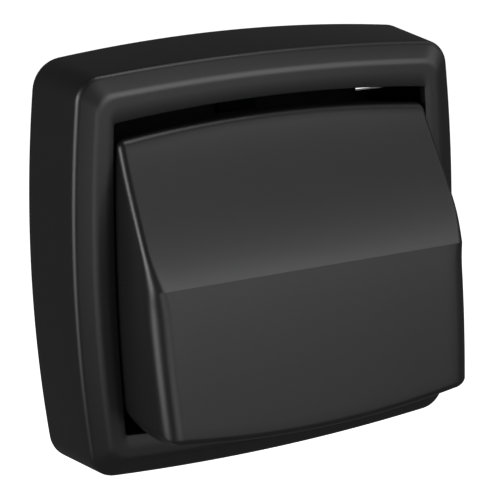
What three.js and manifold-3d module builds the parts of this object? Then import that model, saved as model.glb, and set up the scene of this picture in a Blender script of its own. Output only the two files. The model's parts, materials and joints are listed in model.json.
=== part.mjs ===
// Rocker wall switch: a wide moulded cover frame round a wedge-shaped rocker, with a steel
// mounting plate and a two-way snap mechanism behind it.
// Millimetres, +Z up, the front faces -Y, and the wall plane is y = 0.

import * as THREE from "three";
import { mergeVertices } from "three/addons/utils/BufferGeometryUtils.js";
import Module from "manifold-3d";

const wasm = await Module();
wasm.setup();

// ---------------------------------------------------------------- driving dimensions

const GAP = 0.3; // clearance between touching pieces
const ROUND = 24; // sides of a small round

// cover frame: half sizes at the wall, bulge of each side, and its front edges
const FRAME = { halfW: 42, halfH: 40, bulgeX: 3, bulgeZ: 2.9, corner: 6, wall: 2 };
const FRAME_FRONT = { ...FRAME, bulgeX: 2.75, bulgeZ: 2.1 };
const BEVEL_START = { depth: 15.7, inset: 1.9, corner: 5 };
const FACE = { depth: 17.5, inset: 5.4, corner: 3.5 };
const OPENING = { halfW: 32.95, halfH: 30.2, bulgeX: 0.95, bulgeZ: 1.8, corner: 0.5 };
const LIP = 1.9; // thickness of the frame's face round the opening
const INNER_WALL = { frontInset: 4.9, frontCorner: 2, rearCorner: 4 };
const SNAP_RIB = { halfX: 9, inner: 32.1, front: 5.2, back: 3.4 };

// the plate hangs slightly low in the frame, and the mechanism stands forward of the wall plane
const MECHANISM_Z = -0.4;
const MECHANISM_Y = -5.6;

// rocker: its pivot, in the mechanism's own depth, and its shape about the pivot
const PIVOT_DEPTH = 18.6;
const TRAVEL = 32; // degrees from the stored position to the other one
const MID = TRAVEL / 2;
const ROCKER = {
  halfW: 32.6,
  bulgeX: 1.1,
  bulgeSpan: 29,
  barrelR: 29.2,
  barrelBulge: 1.8,
  wall: 1.7,
  creaseY: -7.2,
  creaseZ: 1.8,
  topY: 7.3,
  topZ: 28.35,
  lowerLean: 0.13,
  lowerCurve: 0.0005,
  skirtY: 8.2,
};
const UPPER_END_SLOPE = 0.8; // the upper face is flatter at both ends than in its middle
const WEB = { x: 10.6, thickness: 1.4, r: 2.6 };

const PIN = { r: 1.2, halfLength: 16.8 };
const CARRIER = { halfX: 9.9, hubR: 2.6, noseHalf: 3.5, noseEnd: 13, armZ: 11, armFront: -0.7, armBack: 1.3 };
const PLUNGER = { r: 2, tipL: 17, bodyL: 10.5, shankR: 1.2, shankL: 6.8 };
const PLUNGER_BORE = { r: 2.35, startL: 4.2 };
const SPRING = { r: 1.76, wire: 0.22, startL: 4.6, endL: 9.3, turns: 5 };

// mechanism: housing, cover with bearing ears, plate
const HOUSING = { halfX: 23.2, halfZ: 15.6, front: -6.2, back: 22, wall: 1.6, chamfer: 2.4 };
const PARTITION = { x: 7.2, thickness: 1.4 };
const FLANGE = { halfX: 28, halfZ: 11, front: 0.3, back: 2.8 }; // depths from the wall plane
const COVER = { front: -8.5, back: -6.5, slotX: 5.6, slotZ: 9.6 };
const EAR = { x: 13.2, thickness: 2.2, r: 2.4, baseHalf: 4.5 };
const PLATE = { inset: 3.2, corner: 4, front: -1.5, back: 0 };
const WINDOW = { halfX: 24, halfZ: 16.4 };
const PLATE_SLOT = { innerX: 26.8, outerX: 33.3, lowZ: 26.3, highZ: 28.4 };
const BOX_SCREW = { spacing: 60, r: 1.6, headR: 3.4, headH: 2.2, length: 24, slot: 7, slotW: 4 };
const RIVET = { x: 26, z: 8.2, r: 1.1, headR: 1.9, headH: 0.8 };
const COVER_SCREW = { x: 19.5, z: 12.8, r: 1.1, headR: 2.1, headH: 1.4, length: 8 };
const CLIP = { width: 8, strip: 0.6, z: 30.4, foot: 5, legY: -7, legLean: 1.2, beadFront: -8.6, beadZ: 3.3 };

// contacts and terminals
const STRIP = 1; // brass strip thickness
const LEVER = { halfZ: 10.5, halfX: 2.6, y: -1.3, thickness: 1, wing: 10, travel: 12 };
const TIP = { r: 1.6, h: 1, z: 9 };
const FIXED_FACE = 0.62; // depth of the fixed tips' faces behind the wall plane
const TERMINAL = { x: 14, z: 8, halfZ: 3, endY: 16.4, screwY: 13 };
const CAGE = { halfY: 2.7, halfZ: 4, outer: 2.1, inner: -4.5, wall: 1 };
const TERMINAL_SCREW = { r: 1.5, headR: 2.3, headH: 1.6, head: 5.2, tip: 1.35, hole: 1.85 };
const WIRE_HOLE = { r: 1.6, collar: 3.2, rise: 1.2, funnel: 2.3 };

// ---------------------------------------------------------------- materials

const plastic = (color, roughness = 0.45) =>
  new THREE.MeshStandardMaterial({ color, roughness, metalness: 0 });
const metal = (color, roughness = 0.35) =>
  new THREE.MeshStandardMaterial({ color, roughness, metalness: 1 });

const BLACK = 0x1d1d1f;
const THERMOSET = 0x2b2a2a;
const NYLON = 0xd9d4c4;
const ZINC = 0xa9adb0;
const STEEL = 0x8f9396;
const BRASS = 0xb9985a;
const SILVER = 0xc9c9c6;

// ---------------------------------------------------------------- solids

function toSolid(geometry, matrix) {
  const plain = geometry.clone();
  plain.deleteAttribute("normal");
  plain.deleteAttribute("uv");
  if (matrix) plain.applyMatrix4(matrix);
  const merged = mergeVertices(plain, 1e-5);
  const solid = new wasm.Mesh({
    numProp: 3,
    vertProperties: new Float32Array(merged.attributes.position.array),
    triVerts: new Uint32Array(merged.index.array),
  });
  return new wasm.Manifold(solid);
}

function toGeometry(solid) {
  const mesh = solid.getMesh();
  const geometry = new THREE.BufferGeometry();
  geometry.setAttribute("position", new THREE.BufferAttribute(new Float32Array(mesh.vertProperties), 3));
  geometry.setIndex(new THREE.BufferAttribute(new Uint32Array(mesh.triVerts), 1));
  return geometry;
}

// a box given by its lowest and highest corner
function box(x0, x1, y0, y1, z0, z1) {
  const geometry = new THREE.BoxGeometry(x1 - x0, y1 - y0, z1 - z0);
  const centre = new THREE.Vector3((x0 + x1) / 2, (y0 + y1) / 2, (z0 + z1) / 2);
  return toSolid(geometry, new THREE.Matrix4().makeTranslation(centre));
}

// a solid of revolution from [radius, height] points, its axis turned from +Y to the given one
function revolve(points, axis, place, sides = ROUND) {
  const profile = points.map(([r, h]) => new THREE.Vector2(r, h));
  const geometry = new THREE.LatheGeometry(profile, sides);
  const turn = new THREE.Quaternion().setFromUnitVectors(
    new THREE.Vector3(0, 1, 0),
    new THREE.Vector3(...axis).normalize(),
  );
  const matrix = new THREE.Matrix4().compose(new THREE.Vector3(...place), turn, new THREE.Vector3(1, 1, 1));
  return toSolid(geometry, matrix);
}

const rod = (r, from, to, axis, place = [0, 0, 0]) =>
  revolve([[0, from], [r, from], [r, to], [0, to]], axis, place);

// a [y, z] outline extruded along X between two planes
function slabX(points, x0, x1) {
  const shape = new THREE.Shape(points.map(([y, z]) => new THREE.Vector2(y, z)));
  const geometry = new THREE.ExtrudeGeometry(shape, { depth: x1 - x0, bevelEnabled: false });
  const matrix = new THREE.Matrix4().set(0, 0, 1, x0, 1, 0, 0, 0, 0, 1, 0, 0, 0, 0, 0, 1);
  return toSolid(geometry, matrix);
}

// an [x, z] outline extruded along Y between two planes
function slabY(points, y0, y1) {
  const shape = new THREE.Shape(points.map(([x, z]) => new THREE.Vector2(x, -z)));
  const geometry = new THREE.ExtrudeGeometry(shape, { depth: y1 - y0, bevelEnabled: false });
  const matrix = new THREE.Matrix4().set(1, 0, 0, 0, 0, 0, 1, y0, 0, -1, 0, 0, 0, 0, 0, 1);
  return toSolid(geometry, matrix);
}

function arcPoints(cx, cz, r, from, to, count) {
  return Array.from({ length: count + 1 }, (_, i) => {
    const a = from + ((to - from) * i) / count;
    return [cx + r * Math.cos(a), cz + r * Math.sin(a)];
  });
}

// a slot's outline, its ends round, lying along X
function slotOutline(cx, cz, length, width) {
  const r = width / 2;
  const run = length / 2 - r;
  const right = arcPoints(cx + run, cz, r, -Math.PI / 2, Math.PI / 2, 8);
  const left = arcPoints(cx - run, cz, r, Math.PI / 2, (3 * Math.PI) / 2, 8);
  return [...right, ...left];
}

const degrees = THREE.MathUtils.degToRad;

// ---------------------------------------------------------------- bulged rectangles

// the outline of a rectangle whose four sides are arcs, with round corners, anticlockwise in x, z
function bulgedOutline({ halfW, halfH, bulgeX, bulgeZ, corner }, inset = 0, r = corner) {
  const w = halfW - inset;
  const h = halfH - inset;
  const sideR = (halfH ** 2 + bulgeX ** 2) / (2 * bulgeX) - inset;
  const topR = (halfW ** 2 + bulgeZ ** 2) / (2 * bulgeZ) - inset;
  const sideC = w - sideR;
  const topC = h - topR;
  const [cx, cz] = circleCrossing(sideC, 0, sideR - r, 0, topC, topR - r);
  const sideAngle = Math.atan2(cz, cx - sideC);
  const topAngle = Math.atan2(cz - topC, cx);
  const quarter = [
    ...arcPoints(sideC, 0, sideR, 0, sideAngle, 6),
    ...arcPoints(cx, cz, r, sideAngle, topAngle, 6).slice(1),
    ...arcPoints(0, topC, topR, topAngle, Math.PI / 2, 6).slice(1),
  ];
  const left = quarter.slice(0, -1).reverse().map(([x, z]) => [-x, z]);
  const upper = [...quarter, ...left];
  const lower = upper.slice(1, -1).reverse().map(([x, z]) => [x, -z]);
  return [...upper, ...lower];
}

// the crossing of two circles that lies in the first quadrant
function circleCrossing(ax, az, ar, bx, bz, br) {
  const d = Math.hypot(bx - ax, bz - az);
  const along = (d * d + ar * ar - br * br) / (2 * d);
  const across = Math.sqrt(ar * ar - along * along);
  const ux = (bx - ax) / d;
  const uz = (bz - az) / d;
  const crossings = [1, -1].map((s) => [
    ax + along * ux - s * across * uz,
    az + along * uz + s * across * ux,
  ]);
  return crossings.find(([x, z]) => x > 0 && z > 0);
}

// a closed band: rings of equal count, each [outline, y], joined in order and back to the first
function ringSolid(rings) {
  const count = rings[0][0].length;
  const positions = [];
  const index = [];
  for (const [outline, y] of rings) {
    for (const [x, z] of outline) positions.push(x, y, z);
  }
  rings.forEach((_, i) => {
    const a = i * count;
    const b = ((i + 1) % rings.length) * count;
    for (let j = 0; j < count; j += 1) {
      const k = (j + 1) % count;
      index.push(a + j, a + k, b + k, a + j, b + k, b + j);
    }
  });
  const geometry = new THREE.BufferGeometry();
  geometry.setAttribute("position", new THREE.Float32BufferAttribute(positions, 3));
  geometry.setIndex(index);
  return toSolid(geometry);
}

// ---------------------------------------------------------------- cover frame and plate

function coverFrame() {
  const lipBack = -(FACE.depth - LIP);
  const shell = ringSolid([
    [bulgedOutline(FRAME), 0],
    [bulgedOutline(FRAME_FRONT, BEVEL_START.inset, BEVEL_START.corner), -BEVEL_START.depth],
    [bulgedOutline(FRAME_FRONT, FACE.inset, FACE.corner), -FACE.depth],
    [bulgedOutline(OPENING), -FACE.depth],
    [bulgedOutline(OPENING), lipBack],
    [bulgedOutline(FRAME_FRONT, INNER_WALL.frontInset, INNER_WALL.frontCorner), lipBack],
    [bulgedOutline(FRAME, FRAME.wall, INNER_WALL.rearCorner), 0],
  ]);
  const ribOuter = FRAME.halfH - FRAME.wall;
  const rib = (side) => {
    const z = [side * SNAP_RIB.inner, side * ribOuter].sort((a, b) => a - b);
    return box(-SNAP_RIB.halfX, SNAP_RIB.halfX, -SNAP_RIB.front, -SNAP_RIB.back, z[0], z[1]);
  };
  return shell.add(rib(1)).add(rib(-1));
}

function mountingPlate() {
  const { inset, corner, front, back } = PLATE;
  const outline = bulgedOutline(FRAME, inset, corner);
  const cut = (x0, x1, z0, z1) => box(x0, x1, front - 1, back + 1, z0, z1);
  const window = cut(-WINDOW.halfX, WINDOW.halfX, -WINDOW.halfZ, WINDOW.halfZ);
  let plate = slabY(outline, front, back).subtract(window);
  const { spacing, slot, slotW } = BOX_SCREW;
  for (const side of [1, -1]) {
    const screwSlot = slotOutline((side * spacing) / 2, 0, slot, slotW);
    plate = plate.subtract(slabY(screwSlot, front - 1, back + 1));
    plate = plate.subtract(rod(RIVET.r + GAP, -3, 3, [0, 1, 0], [side * RIVET.x, 0, -side * RIVET.z]));
  }
  const { innerX, outerX, lowZ, highZ } = PLATE_SLOT;
  return plate.subtract(cut(innerX, outerX, lowZ, highZ));
}

// spring clip: a foot on the plate, a leg, and a bead that catches behind the frame's rib
function frameClip(side) {
  const { strip, z, foot, legY, legLean, beadFront, beadZ } = CLIP;
  const y = PLATE.front - GAP;
  const leg = z + legLean;
  const peak = z + beadZ;
  const outer = [[y, z - foot], [y, z], [legY, leg], [legY + 0.8, peak - 0.3], [legY - 0.4, peak]];
  const bead = [[beadFront, peak - 1.3], [beadFront + 0.2, leg - 0.4], [legY - 0.7, leg - 0.9]];
  const inner = [...bead, [y - strip, z - strip], [y - strip, z - foot]];
  const outline = [...outer, ...inner].map(([py, pz]) => [py, pz * side]);
  return slabX(side > 0 ? outline.reverse() : outline, -CLIP.width / 2, CLIP.width / 2);
}

// ---------------------------------------------------------------- rocker and what turns with it

// outer front outline of the rocker about its pivot, from its top edge down to its bottom edge
function rockerFront(thickness) {
  const { creaseY, creaseZ, topY, topZ, lowerLean, lowerCurve } = ROCKER;
  const upper = [];
  for (let i = 10; i >= 0; i -= 1) {
    const t = i / 8;
    const eased = UPPER_END_SLOPE * t + (1 - UPPER_END_SLOPE) * (3 * t * t - 2 * t * t * t);
    const past = t > 1 ? UPPER_END_SLOPE * (t - 1) + 1 : eased;
    upper.push([creaseY + (topY - creaseY) * past + thickness, creaseZ + (topZ - creaseZ) * t]);
  }
  const lower = [];
  for (let s = 8; s <= 32; s += 8) {
    lower.push([creaseY - lowerLean * s + lowerCurve * s * s + thickness, creaseZ - s]);
  }
  return [...upper, ...lower];
}

// everything inside the rocker's own outline, shrunk by a wall thickness
function rockerBody(shrink, rearY) {
  const front = rockerFront(shrink);
  const ends = [front[front.length - 1][1], front[0][1]];
  const prism = slabX([...front, [rearY, ends[0]], [rearY, ends[1]]], -40, 40);
  const r = ROCKER.barrelR - shrink;
  const steps = Array.from({ length: 13 }, (_, i) => -36 + i * 6);
  const bulgeAt = (x) => ROCKER.barrelBulge * (x / 30) ** 2;
  const profile = [[0, -36], ...steps.map((x) => [r - bulgeAt(x), x]), [0, 36]];
  const barrel = revolve(profile, [1, 0, 0], [0, 0, 0], 96);
  const sides = slabY(sideOutline(shrink), -60, 60);
  return prism.intersect(barrel).intersect(sides);
}

// the rocker seen from the front: its two sides bulge outwards
function sideOutline(shrink) {
  const { halfW, bulgeX, bulgeSpan } = ROCKER;
  const right = [];
  for (let z = -36; z <= 36; z += 6) right.push([halfW - shrink - bulgeX * (z / bulgeSpan) ** 2, z]);
  return [...right, ...right.map(([x, z]) => [-x, z]).reverse()];
}

// the rear edge: what shows stays covered by the frame's face in both positions
function rearCut() {
  const behind = box(-50, 50, ROCKER.skirtY, 60, -60, 60);
  return behind.intersect(behind.rotate([-TRAVEL, 0, 0]));
}

function rocker() {
  const hollow = rockerBody(ROCKER.wall, 50);
  let shell = rockerBody(0, 40).subtract(hollow).subtract(rearCut());
  for (const side of [1, -1]) {
    const x0 = side * WEB.x - (side > 0 ? 0 : WEB.thickness);
    const web = box(x0, x0 + WEB.thickness, -12, 0, -12, 12)
      .intersect(rockerBody(0.5, 40))
      .add(rod(WEB.r, x0, x0 + WEB.thickness, [1, 0, 0]));
    shell = shell.add(web);
  }
  return shell.subtract(rod(PIN.r + GAP, -20, 20, [1, 0, 0]));
}

function pivotPin() {
  const { r, halfLength } = PIN;
  const bevel = 0.3;
  const end = halfLength - bevel;
  const profile = [[0, -halfLength], [r - bevel, -halfLength], [r, -end], [r, end], [r - bevel, halfLength]];
  return revolve([...profile, [0, halfLength]], [1, 0, 0], [0, 0, 0]);
}

// the carrier, plunger and spring are drawn with the rocker level and then turned to its rest
const toRest = (solid) => solid.rotate([-MID, 0, 0]);

function rockerCarrier() {
  const { halfX, hubR, noseHalf, noseEnd, armZ, armFront, armBack } = CARRIER;
  const hub = rod(hubR, -halfX, halfX, [1, 0, 0]);
  const nose = box(-noseHalf, noseHalf, 0, noseEnd, -noseHalf, noseHalf);
  const arms = box(-halfX, halfX, armFront, armBack, -armZ, armZ);
  const rib = (x) => slabX([[armBack - 0.2, -armZ], [noseEnd * 0.6, -noseHalf], [noseEnd * 0.6, noseHalf],
    [armBack - 0.2, armZ]], x - 0.7, x + 0.7);
  const solid = hub.add(nose).add(arms).add(rib(-2.8)).add(rib(2.8));
  const bore = rod(PLUNGER_BORE.r, PLUNGER_BORE.startL, noseEnd + 1, [0, 1, 0]);
  return toRest(solid.subtract(bore).subtract(rod(PIN.r + GAP, -20, 20, [1, 0, 0])));
}

function plunger() {
  const { r, tipL, bodyL, shankR, shankL } = PLUNGER;
  const dome = arcPoints(0, tipL - r, r, 0, Math.PI / 2, 6).slice(0, -1);
  const profile = [[0, shankL], [shankR, shankL], [shankR, bodyL], [r, bodyL], ...dome, [0, tipL]];
  return toRest(revolve(profile, [0, 1, 0], [0, 0, 0]));
}

class Helix extends THREE.Curve {
  constructor(r, from, to, turns) {
    super();
    Object.assign(this, { r, from, to, turns });
  }
  getPoint(t, target = new THREE.Vector3()) {
    const a = t * this.turns * 2 * Math.PI;
    return target.set(this.r * Math.cos(a), this.from + (this.to - this.from) * t, this.r * Math.sin(a));
  }
}

function plungerSpring() {
  const { r, wire, startL, endL, turns } = SPRING;
  const section = new THREE.Shape(arcPoints(0, 0, wire, 0, 2 * Math.PI, 6).slice(0, -1)
    .map(([x, z]) => new THREE.Vector2(x, z)));
  const path = new Helix(r, startL, endL, turns);
  const coil = new THREE.ExtrudeGeometry(section, { steps: turns * 14, extrudePath: path });
  return toRest(toSolid(coil));
}

// ---------------------------------------------------------------- mechanism

// a block along Y with its four long edges cut off at 45 degrees
function chamferedBlock(halfX, halfZ, chamfer, y0, y1) {
  const corner = (sx, sz) => {
    const points = [[sx * halfX, sz * (halfZ - chamfer)], [sx * (halfX - chamfer), sz * halfZ]];
    return sx * sz > 0 ? points : points.reverse();
  };
  return slabY([...corner(1, 1), ...corner(-1, 1), ...corner(-1, -1), ...corner(1, -1)], y0, y1);
}

function mechanismHousing() {
  const { halfX, halfZ, front, back, wall, chamfer } = HOUSING;
  const flange = [FLANGE.front - MECHANISM_Y, FLANGE.back - MECHANISM_Y];
  let housing = chamferedBlock(halfX, halfZ, chamfer, front, back).add(
    box(-FLANGE.halfX, FLANGE.halfX, flange[0], flange[1], -FLANGE.halfZ, FLANGE.halfZ),
  );
  housing = housing.subtract(
    chamferedBlock(halfX - wall, halfZ - wall, chamfer, front - 1, back - wall),
  );
  for (const side of [1, -1]) {
    const x = [side * PARTITION.x, side * (PARTITION.x + PARTITION.thickness)].sort((a, b) => a - b);
    housing = housing.add(box(x[0], x[1], front, back - 0.5, 0.5 - halfZ, halfZ - 0.5));
    const boss = [side * COVER_SCREW.x, 0, -side * COVER_SCREW.z];
    housing = housing.add(rod(2.4, front, 6, [0, 1, 0], boss));
    const web = box(...bossWeb(side)).intersect(chamferedBlock(halfX, halfZ, chamfer, front, back));
    housing = housing.add(web);
    housing = housing.subtract(rod(COVER_SCREW.r + GAP, front - 1, 4, [0, 1, 0], boss));
    const rivetPlace = [side * RIVET.x, 0, -side * RIVET.z];
    housing = housing.subtract(rod(RIVET.r + GAP, flange[0] - 1, flange[1] + 1, [0, 1, 0], rivetPlace));
  }
  for (const [sx, sz] of [[-1, 1], [1, -1], [1, 1]]) {
    const screw = [sx * TERMINAL.x, TERMINAL.screwY, sz * TERMINAL.z];
    housing = housing.subtract(rod(TERMINAL_SCREW.headR + GAP, 0, 12, [sx, 0, 0], screw));
    const { r, collar, rise, funnel } = WIRE_HOLE;
    const wire = [sx * (TERMINAL.x - 1.8), 0, sz * TERMINAL.z];
    housing = housing.add(rod(collar, back - 0.5, back + rise, [0, 1, 0], wire));
    const mouth = [[0, back - 3], [r, back - 3], [r, back], [funnel, back + rise], [funnel, back + 3],
      [0, back + 3]];
    housing = housing.subtract(revolve(mouth, [0, 1, 0], wire));
  }
  return housing.subtract(stripPassages());
}

// a web that ties each cover-screw boss to the nearest corner of the housing
function bossWeb(side) {
  const x = [side * COVER_SCREW.x, side * (HOUSING.halfX - 0.5)].sort((a, b) => a - b);
  const z = [-side * COVER_SCREW.z, -side * (HOUSING.halfZ - 0.5)].sort((a, b) => a - b);
  return [x[0], x[1], HOUSING.front, 6, z[0], z[1]];
}

// the slots in the partitions that the strips run through
function stripPassages() {
  const run = (x0, x1, y, z0, z1) =>
    box(x0, x1, y - GAP, y + STRIP + GAP, z0 - GAP, z1 + GAP);
  const y = FIXED_FACE + TIP.h + GAP;
  const far = PARTITION.x + PARTITION.thickness + 0.4;
  const near = PARTITION.x - 0.4;
  const low = TERMINAL.z - TERMINAL.halfZ;
  const high = TERMINAL.z + TERMINAL.halfZ;
  const upper = run(-far, -near, y, low, high);
  const lower = run(near, far, y, -high, -low);
  return upper.add(lower).add(run(near, far, COMMON_Y, low, high));
}

function mechanismCover() {
  const { halfX, halfZ, chamfer } = HOUSING;
  let cover = chamferedBlock(halfX, halfZ, chamfer, COVER.front, COVER.back);
  cover = cover.subtract(
    box(-COVER.slotX, COVER.slotX, COVER.front - 1, COVER.back + 1, -COVER.slotZ, COVER.slotZ),
  );
  const top = -PIVOT_DEPTH;
  for (const side of [1, -1]) {
    const x0 = side > 0 ? EAR.x : -EAR.x - EAR.thickness;
    const ear = slabX([[top, -EAR.r], [COVER.back - 0.5, -EAR.baseHalf], [COVER.back - 0.5, EAR.baseHalf],
      [top, EAR.r]], x0, x0 + EAR.thickness);
    cover = cover.add(ear).add(rod(EAR.r, x0, x0 + EAR.thickness, [1, 0, 0], [0, top, 0]));
    const screw = [side * COVER_SCREW.x, 0, -side * COVER_SCREW.z];
    cover = cover.subtract(rod(COVER_SCREW.r + GAP, -12, 0, [0, 1, 0], screw));
  }
  return cover.subtract(rod(PIN.r + GAP, -20, 20, [1, 0, 0], [0, top, 0]));
}

// a pan-head screw along +Y with a cross slot, its head's underside at y = seat
function panScrew({ r, headR, headH, length }, place, seat) {
  const top = seat - headH;
  const profile = [[0, top], [headR * 0.55, top], [headR, top + headH * 0.45], [headR, seat], [r, seat],
    [r, seat + length - r], [0.3, seat + length], [0, seat + length]];
  const solid = revolve(profile, [0, 1, 0], place);
  const slot = headH * 0.5;
  const [x, y, z] = place;
  const half = headR * 0.62;
  const bar = (dx, dz) => box(x - dx, x + dx, y + top - 1, y + top + slot, z - dz, z + dz);
  return solid.subtract(bar(half, 0.35).add(bar(0.35, half)));
}

function rivet(side) {
  const { x, z, r, headR, headH } = RIVET;
  const front = PLATE.front - GAP;
  const back = FLANGE.back + GAP;
  const profile = [[0, front - headH], [headR * 0.7, front - headH], [headR, front], [r, front], [r, back],
    [headR, back], [headR * 0.7, back + headH], [0, back + headH]];
  return revolve(profile, [0, 1, 0], [side * x, 0, -side * z]);
}

// ---------------------------------------------------------------- contacts and terminals

const TRAVELLER_Y = FIXED_FACE + TIP.h + GAP;
const COMMON_Y = TRAVELLER_Y + STRIP + 4;

// the part of a strip that stands in a terminal, across the screw's axis
function terminalLeg(sx, sz, fromY) {
  const { x, z, halfZ, endY } = TERMINAL;
  const xs = [sx * x, sx * (x + STRIP)].sort((a, b) => a - b);
  return box(xs[0], xs[1], fromY, endY, sz * z - halfZ, sz * z + halfZ);
}

function travellerStrip(sx, sz) {
  const { x, z, halfZ } = TERMINAL;
  const xs = [sx * -3, sx * (x + STRIP)].sort((a, b) => a - b);
  const run = box(xs[0], xs[1], TRAVELLER_Y, TRAVELLER_Y + STRIP, sz * z - halfZ, sz * z + halfZ);
  return run.add(terminalLeg(sx, sz, TRAVELLER_Y));
}

function commonStrip() {
  const { x, z, halfZ } = TERMINAL;
  const post = box(-2, 2, LEVER.y + LEVER.thickness + GAP, COMMON_Y + STRIP, -1, 1);
  const foot = box(-2, 3, COMMON_Y, COMMON_Y + STRIP, -1, z + halfZ);
  const run = box(-2, x + STRIP, COMMON_Y, COMMON_Y + STRIP, z - halfZ, z + halfZ);
  return post.add(foot).add(run).add(terminalLeg(1, 1, COMMON_Y));
}

const fixedTip = (sz) => rod(TIP.r, FIXED_FACE, FIXED_FACE + TIP.h, [0, 1, 0], [0, 0, sz * TIP.z]);

// the lever is a shallow trough that opens towards the plunger; it is drawn about its fulcrum
function contactLever() {
  const { halfZ, halfX, thickness, wing } = LEVER;
  const rise = halfZ * Math.tan(degrees(wing));
  const outline = [[-thickness, 0], [-thickness - rise, halfZ], [-rise, halfZ], [0, 0], [-rise, -halfZ],
    [-thickness - rise, -halfZ]];
  return slabX(outline.reverse(), -halfX, halfX).rotate([LEVER.travel / 2, 0, 0]);
}

function movingTip(sz) {
  const { wing } = LEVER;
  const tilt = new THREE.Vector3(0, Math.cos(degrees(wing)), sz * Math.sin(degrees(wing)));
  const base = [0, -TIP.z * Math.tan(degrees(wing)) + GAP / 2, sz * TIP.z];
  const solid = rod(TIP.r, GAP / 2, TIP.h, tilt.toArray(), base);
  return solid.rotate([LEVER.travel / 2, 0, 0]);
}

// a clamp cage: a rectangular loop that the screw draws outwards, gripping the wire on the strip
function clampCage(sx, sz) {
  const { halfY, halfZ, outer, inner, wall } = CAGE;
  const along = (from, to) => [sx * (TERMINAL.x + from), sx * (TERMINAL.x + to)].sort((a, b) => a - b);
  const z = sz * TERMINAL.z;
  const y = TERMINAL.screwY;
  const solid = box(...along(inner, outer + wall + 0.4), y - halfY, y + halfY, z - halfZ, z + halfZ).subtract(
    box(...along(inner + wall, outer), y - 9, y + 9, z - halfZ + 0.6, z + halfZ - 0.6),
  );
  const { hole } = TERMINAL_SCREW;
  return solid.subtract(rod(hole, 1, 9, [sx, 0, 0], [sx * TERMINAL.x, y, z]));
}

function terminalScrew(sx, sz) {
  const { r, headR, headH, head, tip } = TERMINAL_SCREW;
  const place = [sx * TERMINAL.x, TERMINAL.screwY, sz * TERMINAL.z];
  const end = head + headH;
  const shank = [[0, tip], [r, tip], [r, head]];
  const profile = [...shank, [headR, head], [headR, end - 0.3], [headR - 0.3, end], [0, end]];
  const slot = new THREE.Matrix4().makeTranslation(place[0] + sx * end, place[1], place[2]);
  const cut = toSolid(new THREE.BoxGeometry(1.6, 6, 0.7), slot);
  return revolve(profile, [sx, 0, 0], place).subtract(cut);
}

// ---------------------------------------------------------------- assembly

function node(group, name, solid, material, place = [0, 0, 0]) {
  const mesh = new THREE.Mesh(toGeometry(solid), material);
  mesh.name = name;
  mesh.position.set(...place);
  group.add(mesh);
}

const switchGroup = new THREE.Group();
node(switchGroup, "cover_frame", coverFrame(), plastic(BLACK, 0.4));

const onPlate = new THREE.Group();
onPlate.position.z = MECHANISM_Z;
switchGroup.add(onPlate);

const mechanism = new THREE.Group();
mechanism.position.y = MECHANISM_Y;
onPlate.add(mechanism);

node(onPlate, "mounting_plate", mountingPlate(), metal(ZINC, 0.45));
node(onPlate, "frame_clip_top", frameClip(1), metal(STEEL));
node(onPlate, "frame_clip_bottom", frameClip(-1), metal(STEEL));
node(mechanism, "mechanism_housing", mechanismHousing(), plastic(THERMOSET, 0.6));
node(mechanism, "mechanism_cover", mechanismCover(), plastic(NYLON, 0.5));

for (const [word, side] of [["left", -1], ["right", 1]]) {
  const screwPlace = [(side * BOX_SCREW.spacing) / 2, 0, 0];
  node(onPlate, `box_screw_${word}`, panScrew(BOX_SCREW, screwPlace, PLATE.front - GAP), metal(ZINC));
  node(onPlate, `housing_rivet_${word}`, rivet(side), metal(ZINC));
  const coverPlace = [side * COVER_SCREW.x, 0, -side * COVER_SCREW.z];
  node(mechanism, `cover_screw_${word}`, panScrew(COVER_SCREW, coverPlace, COVER.front - GAP), metal(ZINC));
}

const terminals = [["upper", -1, 1], ["lower", 1, -1], ["common", 1, 1]];
for (const [word, sx, sz] of terminals) {
  const strip = word === "common" ? commonStrip() : travellerStrip(sx, sz);
  node(mechanism, `${word}_strip`, strip, metal(BRASS));
  node(mechanism, `${word}_clamp_cage`, clampCage(sx, sz), metal(ZINC));
  node(mechanism, `${word}_terminal_screw`, terminalScrew(sx, sz), metal(ZINC));
}
node(mechanism, "upper_fixed_tip", fixedTip(1), metal(SILVER, 0.25));
node(mechanism, "lower_fixed_tip", fixedTip(-1), metal(SILVER, 0.25));

const pivot = [0, -PIVOT_DEPTH, 0];
node(mechanism, "rocker", rocker(), plastic(BLACK, 0.4), pivot);
node(mechanism, "pivot_pin", pivotPin(), metal(STEEL), pivot);
node(mechanism, "rocker_carrier", rockerCarrier(), plastic(NYLON, 0.5), pivot);
node(mechanism, "plunger", plunger(), plastic(NYLON, 0.35), pivot);
node(mechanism, "plunger_spring", plungerSpring(), metal(STEEL), pivot);

const fulcrum = [0, LEVER.y + LEVER.thickness, 0];
node(mechanism, "contact_lever", contactLever(), metal(BRASS), fulcrum);
node(mechanism, "upper_moving_tip", movingTip(1), metal(SILVER, 0.25), fulcrum);
node(mechanism, "lower_moving_tip", movingTip(-1), metal(SILVER, 0.25), fulcrum);

export default switchGroup;
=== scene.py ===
"""Rocker wall switch: satin black cover frame and wedge rocker over a plate-mounted mechanism.

Sizes are in millimetres and become metres where a mesh is made. The front faces -Y.
"""

import json
import math

import bmesh
import bpy
from mathutils import Matrix, Vector

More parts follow.
